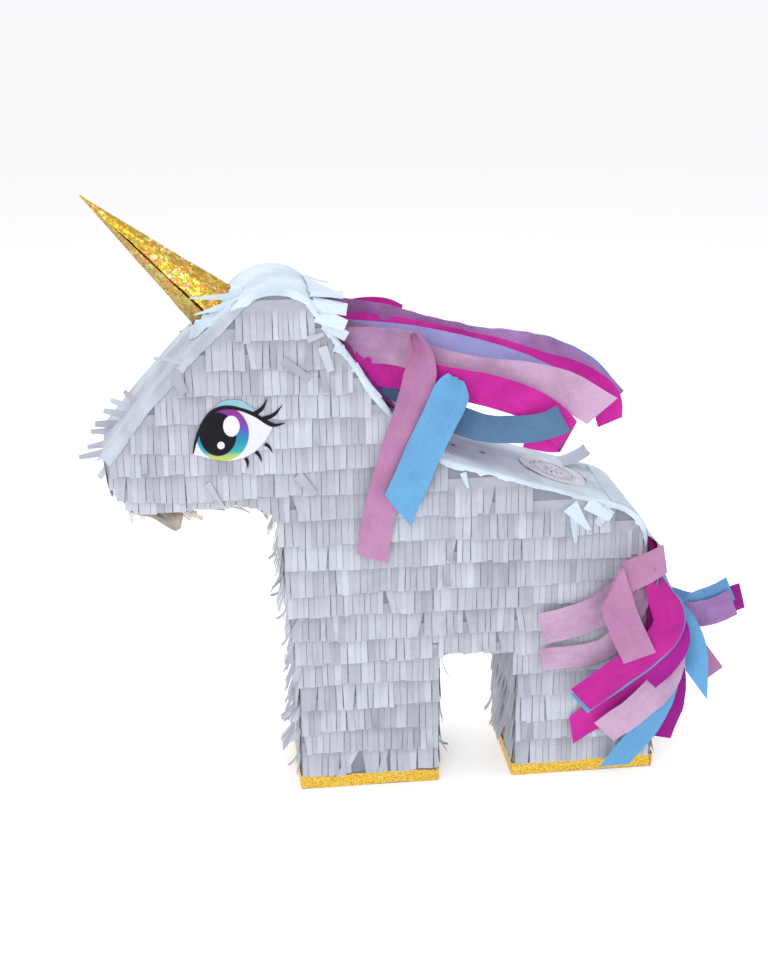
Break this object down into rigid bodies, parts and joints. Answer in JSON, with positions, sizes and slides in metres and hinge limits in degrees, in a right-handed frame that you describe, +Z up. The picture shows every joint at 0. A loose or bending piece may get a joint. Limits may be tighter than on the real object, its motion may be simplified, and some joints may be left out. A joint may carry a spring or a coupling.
{
  "type": "pinata",
  "caption": "Flat-sided cardboard unicorn pinata covered in cut white tissue, with a gold horn, a streamer mane and tail, and a round fill door in its back.",
  "frame": {"origin": "on the floor under the centre of the whole object's box", "axes": "+X from the head to the tail, +Z up, -Y the animal's left side"},
  "size_m": [0.58, 0.13, 0.5229],
  "materials": {
    "card": "matte",
    "white_tissue": "matte",
    "gold_glitter": "gloss",
    "gold_film": "gloss",
    "clear_tape": "gloss",
    "eye_print": "satin",
    "printed_tissue": "matte",
    "lilac_crepe": "matte",
    "magenta_crepe": "matte",
    "blue_crepe": "matte",
    "pale_pink_crepe": "matte",
    "pink_crepe": "matte"
  },
  "bodies": {
    "shell": {"back_strip": "card", "back_tissue": "white_tissue", "belly_fringe": "white_tissue", "belly_strip": "card", "chest_fringe": "white_tissue", "chest_strip": "card", "chin_flap": "white_tissue", "crown_strip": "card", "crown_tissue": "white_tissue", "door_tape": "clear_tape", "forehead_strip": "card", "forehead_tissue": "white_tissue", "front_leg_inner_strip": "card", "front_sole": "card", "hanger_card": "card", "hoof_bands": "gold_glitter", "horn": "gold_film", "horn_tabs": "white_tissue", "jaw_fringe": "white_tissue", "jaw_strip": "card", "left_eye": "eye_print", "left_fringe": "white_tissue", "left_side_panel": "card", "muzzle_whiskers": "white_tissue", "nape_strip": "card", "nape_tissue": "white_tissue", "nose_fringe": "white_tissue", "nose_strip": "card", "rear_edge_strip": "card", "rear_fringe": "white_tissue", "rear_leg_inner_strip": "card", "rear_sole": "card", "right_eye": "eye_print", "right_fringe": "white_tissue", "right_side_panel": "card", "rump_strip": "card", "throat_strip": "card"},
    "fill_door": {"fill_door": "card", "fill_stamp": "printed_tissue"},
    "mane": {"mane_root": "magenta_crepe", "mane_lilac": "lilac_crepe", "mane_magenta": "magenta_crepe", "mane_pale_pink": "pale_pink_crepe", "mane_blue": "blue_crepe", "mane_magenta_loop": "magenta_crepe", "mane_blue_loop": "blue_crepe", "mane_far_side": "pink_crepe"},
    "near_locks": {"near_pink_lock": "pink_crepe", "near_blue_lock": "blue_crepe"},
    "far_locks": {"far_pink_lock": "pink_crepe", "far_blue_lock": "blue_crepe"},
    "tail": {"tail_blue": "blue_crepe", "tail_blue_loop": "blue_crepe", "tail_far_side": "pink_crepe", "tail_magenta_short": "magenta_crepe", "tail_magenta_wide": "magenta_crepe", "tail_pale": "pale_pink_crepe", "tail_pink": "pink_crepe", "tail_tie": "magenta_crepe"}
  },
  "joints": [
    {"name": "fill_door_hinge", "type": "hinge", "parent": "shell", "child": "fill_door", "pos_m": [0.13919, 0, 0.26666], "axis": [0, 1, 0], "range_deg": [0, 120]},
    {"name": "mane_lift", "type": "hinge", "parent": "shell", "child": "mane", "pos_m": [-0.0993, 0, 0.438], "axis": [0, -1, 0], "range_deg": [0, 35]},
    {"name": "near_locks_swing", "type": "hinge", "parent": "mane", "child": "near_locks", "pos_m": [-0.01, -0.048, 0.4], "axis": [-1, 0, 0], "range_deg": [0, 40]},
    {"name": "far_locks_swing", "type": "hinge", "parent": "mane", "child": "far_locks", "pos_m": [-0.01, 0.048, 0.4], "axis": [1, 0, 0], "range_deg": [0, 40]},
    {"name": "tail_lift", "type": "hinge", "parent": "shell", "child": "tail", "pos_m": [0.19, 0, 0.23], "axis": [0, -1, 0], "range_deg": [0, 45]}
  ]
}
